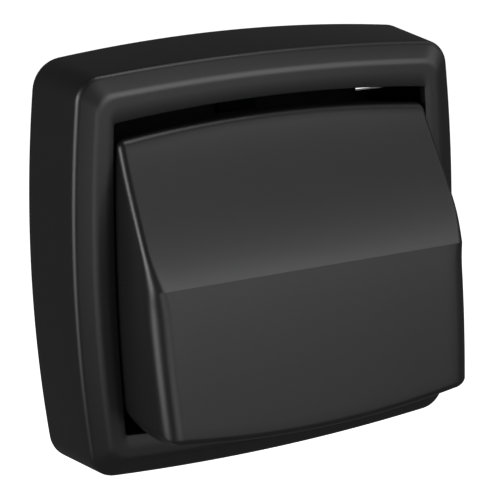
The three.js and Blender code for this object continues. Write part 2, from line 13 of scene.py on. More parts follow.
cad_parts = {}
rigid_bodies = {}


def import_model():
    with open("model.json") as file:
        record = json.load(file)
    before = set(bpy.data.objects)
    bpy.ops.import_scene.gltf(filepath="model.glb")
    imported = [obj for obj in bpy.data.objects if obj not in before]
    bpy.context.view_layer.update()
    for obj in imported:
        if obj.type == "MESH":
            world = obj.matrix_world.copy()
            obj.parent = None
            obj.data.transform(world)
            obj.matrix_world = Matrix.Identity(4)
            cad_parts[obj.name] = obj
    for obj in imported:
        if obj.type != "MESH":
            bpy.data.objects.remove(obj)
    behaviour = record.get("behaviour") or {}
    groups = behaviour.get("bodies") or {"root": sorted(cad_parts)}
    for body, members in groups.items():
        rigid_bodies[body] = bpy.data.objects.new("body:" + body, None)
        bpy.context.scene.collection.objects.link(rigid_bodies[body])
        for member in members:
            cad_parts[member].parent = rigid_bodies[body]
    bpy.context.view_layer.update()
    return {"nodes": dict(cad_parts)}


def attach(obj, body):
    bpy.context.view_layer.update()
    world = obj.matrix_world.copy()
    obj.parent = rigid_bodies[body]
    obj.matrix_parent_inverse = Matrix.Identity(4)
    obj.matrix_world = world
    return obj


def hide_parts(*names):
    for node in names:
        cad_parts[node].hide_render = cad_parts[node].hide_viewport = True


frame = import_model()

MM = 0.001

# ---------------------------------------------------------------- sizes, as the CAD states them

FRAME = {"half_w": 42.0, "half_h": 40.0, "bulge_x": 3.0, "bulge_z": 2.9}
FRAME_FRONT = {"half_w": 42.0, "half_h": 40.0, "bulge_x": 2.75, "bulge_z": 2.1}
OPENING = {"half_w": 32.95, "half_h": 30.2, "bulge_x": 0.95, "bulge_z": 1.8}
BEVEL_START = (1.9, -15.7)  # inset from the outline, y
FACE_START = (5.4, -17.5)
CORNER_R = (6.0, 5.0, 3.5)  # at the wall, at the bevel and at the face
LIP_BACK = -15.6
INNER_FRONT = 4.9  # inset of the inner wall behind the face
INNER_CHAMFER = 0.6  # between the inner wall and the back of the lip
WALL = 2.0
INNER_REAR = ((WALL + 0.05, -0.3), (WALL - 0.25, 0.0))  # inset, y: the lead-in at the wall
INNER_CORNER_R = (2.0, 4.0)  # of the inner wall, behind the face and at the wall
REAR_FLAT = 0.6  # inset where the section starts, on the rear edge
FACE_FLAT = 7.2  # inset where the outer section ends, on the flat face
REAR_EDGE_R = 0.3
OUTER_EDGE_R = 1.6  # round between the side wall and the bevel
FACE_EDGE_R = 3.2  # softer round between the bevel and the face
OPENING_EDGE_R = 0.22
OPENING_CORNER_R = 0.5
SNAP_RIB = {"half_x": 9.0, "inner": 32.1, "root": 0.2, "front": -5.2, "back": -3.4, "round": 0.35}
RIM = {"outer": 2.2, "inner": 4.4, "front": -2.9, "back": -2.0, "round": 0.2}  # insets and depths
SIDE_STEPS, CORNER_STEPS, ROUND_STEPS = 20, 10, 9

PIVOT = Vector((0.0, -24.2, -0.4))
TRAVEL = math.radians(32.0)
ROCKER = {
    "half_w": 32.6, "bulge_x": 1.1, "bulge_span": 29.0,
    "barrel_r": 29.2, "barrel_bulge": 1.8, "barrel_span": 30.0,
    "wall": 1.7, "crease_y": -7.2, "crease_z": 1.8, "top_y": 7.3, "top_z": 28.35,
    "lower_lean": 0.13, "lower_curve": 0.0005, "skirt_y": 8.2,
}
UPPER_END_SLOPE = 0.8
SIDE_ROUND = (1.4, 3.6)  # the side edges are crisper above the crease than below it
SIDE_BLEND = (7.0, 12.0)  # the change starts this far above the crease and takes this long
TOP_ROUND = 2.3
BOTTOM_ROUND = 1.5
INNER_ROUND = (0.3, 0.3)
CREASE_CRISP = 13.0  # degrees: the crease is sharper than this, the curved faces are not
UPPER_REACH, LOWER_REACH = 1.2, 31.0  # both faces run past the barrel before these
WEB = {"x": 10.6, "thickness": 1.4, "hub_r": 2.6, "half_z": 11.5, "rear_y": -1.0, "neck": (0.6, 4.4)}

HOUSING = {"top": 15.2, "bottom": -16.0, "front": 2.0, "back": 15.2}
RIBS = {"count": 9, "pitch": 4.4, "first_x": -17.6, "radius": 0.55}
BOX_SCREW = {"x": 30.0, "z": -0.4, "start": -1.2, "end": 20.4, "core": 1.6, "pitch": 0.7,
             "depth": 0.28}
MERGE_MM = 2e-3  # points of a CAD mesh closer than this are one point
FLAT_ANGLE = math.radians(0.6)  # faces that meet at less are one face
SHARP_ANGLE = math.radians(30.0)  # edges over this are rounded

# ---------------------------------------------------------------- small tools


def arc(cx, cz, r, start, end, count):
    """Points on an arc, both ends included."""
    angles = [start + (end - start) * i / count for i in range(count + 1)]
    return [(cx + r * math.cos(a), cz + r * math.sin(a)) for a in angles]


def between(a, b, f):
    """The point a share f of the way from a to b."""
    return a[0] + (b[0] - a[0]) * f, a[1] + (b[1] - a[1]) * f


def mesh_object(name, bm, crisp=28.0):
    """A smooth-shaded object from a bmesh in millimetres; edges over crisp degrees stay sharp."""
    bmesh.ops.remove_doubles(bm, verts=bm.verts, dist=1e-4)
    bmesh.ops.recalc_face_normals(bm, faces=bm.faces)
    if bm.calc_volume(signed=True) < 0:
        bmesh.ops.reverse_faces(bm, faces=bm.faces)
    bmesh.ops.scale(bm, vec=(MM, MM, MM), verts=bm.verts)
    for face in bm.faces:
        face.smooth = True
    for edge in bm.edges:
        edge.smooth = len(edge.link_faces) == 2 and edge.calc_face_angle(0.0) < math.radians(crisp)
    mesh = bpy.data.meshes.new(name)
    bm.to_mesh(mesh)
    bm.free()
    thing = bpy.data.objects.new(name, mesh)
    bpy.context.scene.collection.objects.link(thing)
    return thing


def grid(bm, rows):
    """Joins rows of points with quads."""
    made = [[bm.verts.new(p) for p in row] for row in rows]
    for a, b in zip(made, made[1:]):
        for i in range(len(a) - 1):
            bm.faces.new((a[i], a[i + 1], b[i + 1], b[i]))
    return made


def piece(thing, material, body, slot, *nodes):
    """Gives a finished object its material and body and hides the CAD nodes it stands for; the slot
    is not used.
    """
    if material is not None:
        thing.data.materials.clear()
        thing.data.materials.append(material)
    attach(thing, body)
    if nodes:
        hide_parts(*nodes)
    return thing


# ---------------------------------------------------------------- materials


def srgb(code):
    """A hex colour as linear RGBA."""
    parts = [int(code[i : i + 2], 16) / 255 for i in (0, 2, 4)]
    return [c / 12.92 if c <= 0.04045 else ((c + 0.055) / 1.055) ** 2.4 for c in parts] + [1.0]


def add(tree, kind, settings=None, values=None, links=None):
    """Adds a node, with its settings, its unlinked input values, and links into its inputs."""
    made = tree.nodes.new(kind)
    for key, value in (settings or {}).items():
        setattr(made, key, value)
    for key, value in (values or {}).items():
        made.inputs[key].default_value = value
    for key, (source, output) in (links or {}).items():
        tree.links.new(source.outputs[output], made.inputs[key])
    return made


def new_material(name, shader_values):
    """A node material: its tree, Principled shader and object coordinates."""
    material = bpy.data.materials.new(name)
    material.use_nodes = True
    tree = material.node_tree
    tree.nodes.clear()
    shader = add(tree, "ShaderNodeBsdfPrincipled", values=shader_values)
    add(tree, "ShaderNodeOutputMaterial", links={"Surface": (shader, "BSDF")})
    where = add(tree, "ShaderNodeTexCoord")
    return material, tree, shader, where


def per_mm(size):
    """The noise scale whose features are this many millimetres across."""
    return 1 / (size * MM)


def moulded_black(name, code, roughness, grain_depth):
    """Satin black ABS, injection moulded in a spark-eroded tool: near black all through, so what
    shows is the soft sheen of the shallow grain. The grain is drawn at 0.35 mm, coarser than the
    real 0.1 mm, so that it shows; slow waves in the sheen come from melt flow."""
    material, tree, shader, where = new_material(name, {"Base Color": srgb(code), "IOR": 1.5})
    flow = add(tree, "ShaderNodeTexNoise", values={"Scale": per_mm(22), "Detail": 2.0},
               links={"Vector": (where, "Object")})
    sheen = add(tree, "ShaderNodeMapRange",
                values={"From Min": 0.3, "From Max": 0.7, "To Min": roughness - 0.015,
                        "To Max": roughness + 0.015},
                links={"Value": (flow, "Fac")})
    grain = add(tree, "ShaderNodeTexNoise", values={"Scale": per_mm(0.35), "Detail": 3.0},
                links={"Vector": (where, "Object")})
    relief = add(tree, "ShaderNodeBump", values={"Strength": 1.0, "Distance": grain_depth * MM},
                 links={"Height": (grain, "Fac")})
    tree.links.new(sheen.outputs["Result"], shader.inputs["Roughness"])
    tree.links.new(relief.outputs["Normal"], shader.inputs["Normal"])
    return material


def moulded_filled(name, code, fleck, roughness, fleck_mm):
    """Filled moulding compound, pressed in a plain tool: dull, with paler specks of its filler at
    the skin and a slightly uneven surface."""
    material, tree, shader, where = new_material(name, {"IOR": 1.55})
    specks = add(tree, "ShaderNodeTexVoronoi", values={"Scale": per_mm(fleck_mm)},
                 links={"Vector": (where, "Object")})
    show = add(tree, "ShaderNodeMapRange",
               values={"From Min": 0.10, "From Max": 0.28, "To Min": 1.0, "To Max": 0.0},
               links={"Value": (specks, "Distance")})
    colour = add(tree, "ShaderNodeMix", {"data_type": "RGBA"}, links={"Factor": (show, "Result")})
    colour.inputs["A"].default_value = srgb(code)
    colour.inputs["B"].default_value = srgb(fleck)
    skin = add(tree, "ShaderNodeTexNoise", values={"Scale": per_mm(0.6), "Detail": 4.0},
               links={"Vector": (where, "Object")})
    dull = add(tree, "ShaderNodeMapRange",
               values={"To Min": roughness - 0.06, "To Max": roughness + 0.06},
               links={"Value": (skin, "Fac")})
    relief = add(tree, "ShaderNodeBump", values={"Strength": 0.6, "Distance": 0.02 * MM},
                 links={"Height": (skin, "Fac")})
    tree.links.new(colour.outputs["Result"], shader.inputs["Base Color"])
    tree.links.new(dull.outputs["Result"], shader.inputs["Roughness"])
    tree.links.new(relief.outputs["Normal"], shader.inputs["Normal"])
    return material


def sheet_metal(name, code, shade, roughness, metallic, line_mm, stretch):
    """Metal worked in one direction, rolled, drawn or turned: fine lines along X that streak the
    gloss, with cloudy variation in the plating or oxide."""
    material, tree, shader, where = new_material(name, {"Metallic": metallic})
    place = add(tree, "ShaderNodeMapping", links={"Vector": (where, "Object")})
    place.inputs["Scale"].default_value = (1 / stretch, 1.0, 1.0)
    lines = add(tree, "ShaderNodeTexNoise", values={"Scale": per_mm(line_mm), "Detail": 3.0},
                links={"Vector": (place, "Vector")})
    clouds = add(tree, "ShaderNodeTexNoise", values={"Scale": per_mm(3.5), "Detail": 3.0},
                 links={"Vector": (where, "Object")})
    colour = add(tree, "ShaderNodeMix", {"data_type": "RGBA"}, links={"Factor": (clouds, "Fac")})
    colour.inputs["A"].default_value = srgb(code)
    colour.inputs["B"].default_value = srgb(shade)
    streak = add(tree, "ShaderNodeMapRange",
                 values={"To Min": roughness - 0.08, "To Max": roughness + 0.1},
                 links={"Value": (lines, "Fac")})
    relief = add(tree, "ShaderNodeBump", values={"Strength": 0.35, "Distance": 0.01 * MM},
                 links={"Height": (lines, "Fac")})
    tree.links.new(colour.outputs["Result"], shader.inputs["Base Color"])
    tree.links.new(streak.outputs["Result"], shader.inputs["Roughness"])
    tree.links.new(relief.outputs["Normal"], shader.inputs["Normal"])
    return material


# the base colour is nearly black: the tone that shows is the sheen of the softboxes
frame_abs = moulded_black("frame_moulded_abs_satin", "0d0d0e", 0.36, 0.006)
rocker_abs = moulded_black("rocker_moulded_abs_satin", "0d0d0e", 0.36, 0.005)
# melamine-phenolic compound, charcoal with pale wood-flour specks
housing_thermoset = moulded_filled("housing_phenolic_pressed", "2e2c2b", "4a4643", 0.55, 0.7)
# glass-filled polyamide: black, a little glossier, with fine fibre specks
bearing_polyamide = moulded_filled("bearing_glass_filled_polyamide", "161617", "262628", 0.45, 0.35)
# cold-rolled sheet under thin dull black lacquer: the rolling lines just show in its sheen
# its near-black colour is partly painted shade: darkened so that the gaps round the rocker read as
# shade
plate_steel = sheet_metal("plate_black_lacquer_and_painted_shade", "08080a", "0d0d0f", 0.75, 0.0, 0.25, 9.0)
# the lacquer is thin and dull, so it mirrors less than a moulded skin does
plate_steel.node_tree.nodes["Principled BSDF"].inputs["Specular IOR Level"].default_value = 0.15
# hardened strip, blued in the oven
spring_steel = sheet_metal("spring_blued_steel", "1c2026", "2b2e34", 0.35, 1.0, 0.15, 6.0)
# bright zinc plate on turned steel
zinc_plate = sheet_metal("screw_bright_zinc_plate", "b4b7ba", "9a9ea3", 0.3, 1.0, 0.12, 1.0)
# half-hard brass strip, blanked and bent
brass_strip = sheet_metal("contact_rolled_brass", "c9a45c", "b08a46", 0.28, 1.0, 0.12, 8.0)
# silver-nickel rivet, headed cold
silver_rivet = sheet_metal("contact_silver_nickel", "d6d4cf", "bdbab4", 0.22, 1.0, 0.1, 1.0)

# ---------------------------------------------------------------- cover frame


def bulged_outline(size, inset, corner):
    """A rectangle whose four sides are shallow arcs, with round corners, as [x, z] points."""
    w, h = size["half_w"] - inset, size["half_h"] - inset
    bx, bz = size["bulge_x"], size["bulge_z"]
    side_r = (size["half_h"] ** 2 + bx**2) / (2 * bx) - inset
    top_r = (size["half_w"] ** 2 + bz**2) / (2 * bz) - inset
    side_c, top_c = w - side_r, h - top_r
    cx, cz = circles_meet(side_c, 0, side_r - corner, 0, top_c, top_r - corner)
    side_a = math.atan2(cz, cx - side_c)
    top_a = math.atan2(cz - top_c, cx)
    quarter = (
        arc(side_c, 0, side_r, 0, side_a, SIDE_STEPS)
        + arc(cx, cz, corner, side_a, top_a, CORNER_STEPS)[1:]
        + arc(0, top_c, top_r, top_a, math.pi / 2, SIDE_STEPS)[1:]
    )
    upper = quarter + [(-x, z) for x, z in reversed(quarter[:-1])]
    return upper + [(x, -z) for x, z in reversed(upper[1:-1])]


def circles_meet(ax, az, ar, bx, bz, br):
    """The crossing of two circles that lies in the first quadrant."""
    d = math.hypot(bx - ax, bz - az)
    along = (d * d + ar * ar - br * br) / (2 * d)
    across = math.sqrt(ar * ar - along * along)
    ux, uz = (bx - ax) / d, (bz - az) / d
    for s in (1, -1):
        x, z = ax + along * ux - s * across * uz, az + along * uz + s * across * ux
        if x > 0 and z > 0:
            return x, z


def rounded_path(corners, radii, steps):
    """A path through corner points, each corner replaced by an arc of its radius."""
    path = [corners[0]]
    for before, corner, after, r in zip(corners, corners[1:], corners[2:], radii):
        a = (Vector(before) - Vector(corner)).normalized()
        b = (Vector(after) - Vector(corner)).normalized()
        half = a.angle(b) / 2
        centre = Vector(corner) + (a + b).normalized() * (r / math.sin(half))
        start = Vector(corner) + a * (r / math.tan(half)) - centre
        end = Vector(corner) + b * (r / math.tan(half)) - centre
        turn = start.angle_signed(end)
        for i in range(steps + 1):
            spin = Matrix.Rotation(-turn * i / steps, 2)
            path.append(tuple(centre + spin @ start))
    return path + [corners[-1]]


def frame_ring(inset, y):
    """The frame's outline at a depth, with y: bulge and corners tighten from wall to face."""
    share = min(1.0, y / BEVEL_START[1])
    size = {key: FRAME[key] + (FRAME_FRONT[key] - FRAME[key]) * share for key in FRAME}
    corner = CORNER_R[0] + (CORNER_R[1] - CORNER_R[0]) * share
    if inset > BEVEL_START[0]:
        over = (inset - BEVEL_START[0]) / (FACE_START[0] - BEVEL_START[0])
        corner = max(0.6, CORNER_R[1] + (CORNER_R[2] - CORNER_R[1]) * over)
    return bulged_outline(size, inset, corner), y


def cover_frame():
    """The frame's shell, one closed skin of rings: from the rear edge over the bevel and the face,
    through the opening, and back along the inner wall."""
    face_y = FACE_START[1]
    front = rounded_path(
        [(REAR_FLAT, 0.0), (0.0, 0.0), BEVEL_START, FACE_START, (FACE_FLAT, face_y)],
        [REAR_EDGE_R, OUTER_EDGE_R, FACE_EDGE_R], ROUND_STEPS,
    )
    rings = [frame_ring(inset, y) for inset, y in front]
    edge = OPENING_EDGE_R
    middle = edge * 0.3  # how near a round's middle comes to the corner it replaces
    for grow, y in ((edge, face_y), (middle, face_y + middle), (0.0, face_y + edge),
                    (0.0, LIP_BACK - edge), (edge, LIP_BACK)):
        rings.append((bulged_outline(OPENING, -grow, OPENING_CORNER_R + grow), y))
    for inset, y in ((INNER_FRONT + INNER_CHAMFER, LIP_BACK),
                     (INNER_FRONT, LIP_BACK + INNER_CHAMFER)):
        rings.append((bulged_outline(FRAME_FRONT, inset, INNER_CORNER_R[0]), y))
    for inset, y in INNER_REAR:
        rings.append((bulged_outline(FRAME, inset, INNER_CORNER_R[1]), y))
    bm = bmesh.new()
    rows = [[(x, y, z) for x, z in outline + outline[:1]] for outline, y in rings]
    grid(bm, rows + rows[:1])
    shell = mesh_object("cover_frame_shell", bm)
    return piece(shell, frame_abs, "base", "frame_plastic", "cover_frame")


def block(bm, low, high, bevel):
    """A box from its lowest to its highest corner, with rounded edges."""
    made = bmesh.ops.create_cube(bm, size=1.0)["verts"]
    size = Vector(high) - Vector(low)
    centre = (Vector(high) + Vector(low)) / 2
    bmesh.ops.scale(bm, vec=size, verts=made)
    bmesh.ops.translate(bm, vec=centre, verts=made)
    edges = list({e for v in made for e in v.link_edges})
    bmesh.ops.bevel(bm, geom=edges, offset=bevel, segments=3, affect="EDGES", profile=0.5)


def snap_ribs():
    """The two ribs inside the frame that the spring clips catch behind."""
    bm = bmesh.new()
    outer = FRAME["half_h"] - WALL - SNAP_RIB["root"]
    for side in (1, -1):
        z = sorted((side * SNAP_RIB["inner"], side * outer))
        block(bm, (-SNAP_RIB["half_x"], SNAP_RIB["front"], z[0]),
              (SNAP_RIB["half_x"], SNAP_RIB["back"], z[1]), SNAP_RIB["round"])
    return piece(mesh_object("cover_frame_snap_ribs", bm), frame_abs, "base", "frame_plastic")


def inner_rim():
    """The narrow rim inside the frame that the mounting plate's edge lies behind."""
    low, high = RIM["back"], RIM["front"]
    soft = RIM["round"]
    rings = [(RIM["outer"], low), (RIM["inner"] - soft, low), (RIM["inner"], low - soft),
             (RIM["inner"], high + soft), (RIM["inner"] - soft, high), (RIM["outer"], high)]
    bm = bmesh.new()
    rows = []
    for inset, y in rings:
        outline = bulged_outline(FRAME, inset, CORNER_R[2])
        rows.append([(x, y, z) for x, z in outline + outline[:1]])
    grid(bm, rows + rows[:1])
    return piece(mesh_object("cover_frame_inner_rim", bm), frame_abs, "base", "frame_plastic")


# ---------------------------------------------------------------- rocker


def upper_face(t, shift):
    """The concave upper face at t, 0 on the crease and 1 on the top edge, as (y, z)."""
    eased = UPPER_END_SLOPE * t + (1 - UPPER_END_SLOPE) * (3 * t * t - 2 * t**3)
    past = UPPER_END_SLOPE * (t - 1) + 1 if t > 1 else eased
    y = ROCKER["crease_y"] + (ROCKER["top_y"] - ROCKER["crease_y"]) * past + shift
    return y, ROCKER["crease_z"] + (ROCKER["top_z"] - ROCKER["crease_z"]) * t


def lower_face(s, shift):
    """The almost flat lower face, s millimetres below the crease, as (y, z)."""
    y = ROCKER["crease_y"] - ROCKER["lower_lean"] * s + ROCKER["lower_curve"] * s * s + shift
    return y, ROCKER["crease_z"] - s


def offset_point(face, t, shift, inward):
    """A point of a face moved square to it into the rocker."""
    y0, z0 = face(t - 0.01, shift)
    y1, z1 = face(t + 0.01, shift)
    y, z = face(t, shift)
    length = math.hypot(y1 - y0, z1 - z0)
    ny, nz = abs(z1 - z0) / length, -(y1 - y0) / length * (1 if z1 > z0 else -1)
    return y + inward * ny, z + inward * nz


def fillet_at(face, high, shift, inset, barrel, r):
    """Where a rolling ball of radius r touches both a face and the barrel."""
    low = 0.0
    for _ in range(40):
        mid = (low + high) / 2
        y, z = offset_point(face, mid, shift, inset + r)
        if math.hypot(y, z) < barrel - inset - r:
            low = mid
        else:
            high = mid
    centre = offset_point(face, low, shift, inset + r)
    on_face = offset_point(face, low, shift, inset)
    scale = (barrel - inset) / math.hypot(*centre)
    return low, centre, on_face, (centre[0] * scale, centre[1] * scale)


def swing(centre, start, end, count):
    """Arc points about a centre from start to end, by the shorter way."""
    a = math.atan2(start[1] - centre[1], start[0] - centre[0])
    b = math.atan2(end[1] - centre[1], end[0] - centre[0])
    b += 2 * math.pi * round((a - b) / (2 * math.pi))
    r0, r1 = math.dist(centre, start), math.dist(centre, end)
    points = []
    for i in range(count + 1):
        r, angle = between((r0, a), (r1, b), i / count)
        points.append((centre[0] + r * math.cos(angle), centre[1] + r * math.sin(angle)))
    return points


def rocker_profile(x, inset, shrink, top_r, bottom_r):
    """The rocker's outer section at x, from its upper rear edge over the front to its lower one."""
    bulge = ROCKER["barrel_bulge"] * (x / ROCKER["barrel_span"]) ** 2
    barrel = ROCKER["barrel_r"] - shrink - bulge
    top_r, bottom_r = max(top_r - inset, 0.05), max(bottom_r - inset, 0.05)
    t_end, top_c, top_face, top_barrel = fillet_at(
        upper_face, UPPER_REACH, shrink, inset, barrel, top_r)
    s_end, low_c, low_face, low_barrel = fillet_at(
        lower_face, LOWER_REACH, shrink, inset, barrel, bottom_r)
    skirt, r = ROCKER["skirt_y"], barrel - inset
    level = math.sqrt(r * r - skirt * skirt)
    top_rear = (skirt * math.cos(TRAVEL) + level * math.sin(TRAVEL),
                -skirt * math.sin(TRAVEL) + level * math.cos(TRAVEL))
    points = swing((0, 0), top_rear, top_barrel, 12)
    points += swing(top_c, top_barrel, top_face, 8)[1:]
    upper, lower = 26, 16  # steps along the two faces
    points += [offset_point(upper_face, t_end * (1 - i / upper), shrink, inset)
               for i in range(1, upper)]
    y0, z0 = offset_point(upper_face, 0.0, shrink, inset)
    y1, z1 = offset_point(lower_face, 0.0, shrink, inset)
    points += [((y0 + y1) / 2, (z0 + z1) / 2)]
    points += [offset_point(lower_face, s_end * i / lower, shrink, inset) for i in range(1, lower)]
    points += swing(low_c, low_face, low_barrel, 8)
    return points + swing((0, 0), low_barrel, (skirt, -level), 6)[1:]


def side_at(z, shrink):
    """Half the rocker's width at height z: its sides bulge."""
    return ROCKER["half_w"] - shrink - ROCKER["bulge_x"] * (z / ROCKER["bulge_span"]) ** 2


def rear_edge(section):
    """The V-shaped rear edge of a side wall, from the section's first point to its last."""
    skirt = ROCKER["skirt_y"]
    apex = (skirt, skirt * (math.cos(TRAVEL) - 1) / math.sin(TRAVEL))
    points = [section[0], apex, section[-1]]
    first = math.dist(points[0], points[1])
    whole = first + math.dist(points[1], points[2])
    walk = [0.0]
    for a, b in zip(section, section[1:]):
        walk.append(walk[-1] + math.dist(a, b))
    out = []
    for walked in walk:
        d = walked / walk[-1] * whole
        if d < first:
            out.append(between(points[0], points[1], d / first))
        else:
            out.append(between(points[1], points[2], (d - first) / (whole - first)))
    return out


def round_at(z, rounds):
    """The side edge's radius at height z: it grows where the upper face passes the crease."""
    above, length = SIDE_BLEND
    f = min(1.0, max(0.0, (ROCKER["crease_z"] + above - z) / length))
    return rounds[0] + (rounds[1] - rounds[0]) * f * f * (3 - 2 * f)


def rocker_skin(shrink, rounds, top_r, bottom_r):
    """Columns of points from the apex line of one side wall across the front to the other's."""
    edge_steps, wall_steps, middle = 9, 6, 16
    columns = []
    widest = ROCKER["half_w"] - shrink - min(rounds)
    for i in range(middle + 1):
        share = i / middle
        section = rocker_profile(widest * share, 0.0, shrink, top_r, bottom_r)
        columns.append([(share * (side_at(z, shrink) - round_at(z, rounds)), y, z)
                        for y, z in section])
    for i in range(1, edge_steps + 1):
        a = math.pi / 2 * i / edge_steps
        drop = 1 - math.cos(a)
        pair = [rocker_profile(widest, r * drop, shrink, top_r, bottom_r) for r in rounds]
        section = []
        column = []
        for crisp, soft in zip(*pair):
            r = round_at((crisp[1] + soft[1]) / 2, rounds)
            f = (r - rounds[0]) / (rounds[1] - rounds[0]) if rounds[1] > rounds[0] else 0.0
            y, z = between(crisp, soft, f)
            section.append((y, z))
            column.append((side_at(z, shrink) + r * (math.sin(a) - 1), y, z))
        columns.append(column)
    rear = rear_edge(section)
    for i in range(1, wall_steps + 1):
        mixed = [between(a, b, i / wall_steps) for a, b in zip(section, rear)]
        columns.append([(side_at(z, shrink), y, z) for y, z in mixed])
    mirrored = [[(-x, y, z) for x, y, z in column] for column in reversed(columns[1:])]
    return mirrored + columns


def rocker_cap():
    """The rocker's shell: an outer and an inner skin joined along their rear edges."""
    outer = rocker_skin(0.0, SIDE_ROUND, TOP_ROUND, BOTTOM_ROUND)
    inner = rocker_skin(ROCKER["wall"], INNER_ROUND, INNER_ROUND[0], INNER_ROUND[0])
    bm = bmesh.new()
    skins = [grid(bm, columns) for columns in (outer, inner)]
    rims = []
    for made in skins:
        top = [column[0] for column in made]
        bottom = [column[-1] for column in made]
        rims.append(top + made[-1][1:-1] + bottom[::-1] + made[0][-2:0:-1])
    for i in range(len(rims[0])):
        j = (i + 1) % len(rims[0])
        bm.faces.new((rims[0][i], rims[0][j], rims[1][j], rims[1][i]))
    bmesh.ops.translate(bm, vec=PIVOT, verts=bm.verts)
    shell = mesh_object("rocker_cap", bm, CREASE_CRISP)
    return piece(shell, rocker_abs, "rocker", "rocker_plastic", "rocker")


def inner_front(z):
    """The y of the rocker's inner face at height z, from its pivot, just inside the plastic."""
    face = upper_face if z > ROCKER["crease_z"] else lower_face
    span = ROCKER["top_z"] - ROCKER["crease_z"] if z > ROCKER["crease_z"] else -1.0
    return face((z - ROCKER["crease_z"]) / span, ROCKER["wall"] - 0.3)[0]


def rocker_webs():
    """The two webs under the rocker's face, each with the hub that the pin is pressed into."""
    bm = bmesh.new()
    steps = 24
    heights = [-WEB["half_z"] + 2 * WEB["half_z"] * i / steps for i in range(steps + 1)]
    outline = [(inner_front(z), z) for z in heights]
    neck_y, neck_z = WEB["neck"]
    outline += [(WEB["rear_y"], WEB["half_z"]), (neck_y, neck_z)]
    outline += arc(0.0, 0.0, WEB["hub_r"], math.pi / 3, -math.pi / 3, 16)
    outline += [(neck_y, -neck_z), (WEB["rear_y"], -WEB["half_z"])]
    for side in (1, -1):
        x0, x1 = side * WEB["x"], side * (WEB["x"] + WEB["thickness"])
        faces = [[bm.verts.new((x, y, z)) for y, z in outline] for x in (x0, x1)]
        bm.faces.new(faces[0])
        bm.faces.new(faces[1][::-1])
        for i in range(len(outline)):
            j = (i + 1) % len(outline)
            bm.faces.new((faces[0][i], faces[1][i], faces[1][j], faces[0][j]))
    bmesh.ops.translate(bm, vec=PIVOT, verts=bm.verts)
    return piece(mesh_object("rocker_webs", bm), rocker_abs, "rocker", "rocker_plastic")


# ---------------------------------------------------------------- pieces finished from the CAD


def finished(name, material, body, slot, bevel):
    """A copy of a CAD node with its flat faces joined up and its crisp edges rounded, as far as
    its shortest edges leave room."""
    bm = bmesh.new()
    bm.from_mesh(frame["nodes"][name].data)
    bmesh.ops.scale(bm, vec=(1 / MM, 1 / MM, 1 / MM), verts=bm.verts)
    bmesh.ops.remove_doubles(bm, verts=bm.verts, dist=MERGE_MM)
    bmesh.ops.dissolve_limit(bm, angle_limit=FLAT_ANGLE, verts=bm.verts, edges=bm.edges)
    sharp = [e for e in bm.edges
             if len(e.link_faces) == 2 and e.calc_face_angle(0.0) > SHARP_ANGLE]
    if bevel:
        bmesh.ops.bevel(bm, geom=sharp, offset=bevel, segments=2, affect="EDGES", profile=0.5,
                        clamp_overlap=True)
    return piece(mesh_object(f"{name}_finished", bm), material, body, slot, name)


# ---------------------------------------------------------------- pieces that repeat


def new_tree(name, inputs):
    """A geometry node tree with named size inputs; returns the tree, its input node and output."""
    tree = bpy.data.node_groups.new(name, "GeometryNodeTree")
    tree.interface.new_socket("Geometry", in_out="INPUT", socket_type="NodeSocketGeometry")
    tree.interface.new_socket("Geometry", in_out="OUTPUT", socket_type="NodeSocketGeometry")
    for label, kind in inputs:
        tree.interface.new_socket(label, in_out="INPUT", socket_type=kind)
    return tree, add(tree, "NodeGroupInput"), add(tree, "NodeGroupOutput")


def grown(name, tree, sizes):
    """Evaluates a tree with its sizes given by name and returns the plain mesh as an object."""
    seed = bpy.data.objects.new(name + "_seed", bpy.data.meshes.new(name + "_seed"))
    bpy.context.scene.collection.objects.link(seed)
    modifier = seed.modifiers.new("grow", "NODES")
    modifier.node_group = tree
    for item in tree.interface.items_tree:
        if item.item_type == "SOCKET" and item.in_out == "INPUT" and item.name in sizes:
            modifier[item.identifier] = sizes[item.name]
    bpy.context.view_layer.update()
    depsgraph = bpy.context.evaluated_depsgraph_get()
    mesh = bpy.data.meshes.new_from_object(seed.evaluated_get(depsgraph))
    bpy.data.objects.remove(seed)
    mesh.name = name
    thing = bpy.data.objects.new(name, mesh)
    bpy.context.scene.collection.objects.link(thing)
    return thing


def thread_tree():
    """A screw thread along Y: a helix carrying a three-sided ridge."""
    tree, sizes, result = new_tree("screw_thread", [
        ("Radius", "NodeSocketFloat"), ("Depth", "NodeSocketFloat"), ("Turns", "NodeSocketFloat"),
        ("Length", "NodeSocketFloat"), ("Place", "NodeSocketVector"),
        ("Material", "NodeSocketMaterial")])
    helix = add(tree, "GeometryNodeCurveSpiral", values={"Resolution": 28}, links={
        "Rotations": (sizes, "Turns"), "Start Radius": (sizes, "Radius"),
        "End Radius": (sizes, "Radius"), "Height": (sizes, "Length")})
    ridge = add(tree, "GeometryNodeCurvePrimitiveCircle", values={"Resolution": 3},
                links={"Radius": (sizes, "Depth")})
    swept = add(tree, "GeometryNodeCurveToMesh", values={"Fill Caps": True}, links={
        "Curve": (helix, "Curve"), "Profile Curve": (ridge, "Curve")})
    laid = add(tree, "GeometryNodeTransform", values={"Rotation": (-math.pi / 2, 0.0, 0.0)},
               links={"Geometry": (swept, "Mesh"), "Translation": (sizes, "Place")})
    real = add(tree, "GeometryNodeRealizeInstances", links={"Geometry": (laid, "Geometry")})
    coated = add(tree, "GeometryNodeSetMaterial", links={
        "Geometry": (real, "Geometry"), "Material": (sizes, "Material")})
    tree.links.new(coated.outputs["Geometry"], result.inputs["Geometry"])
    return tree


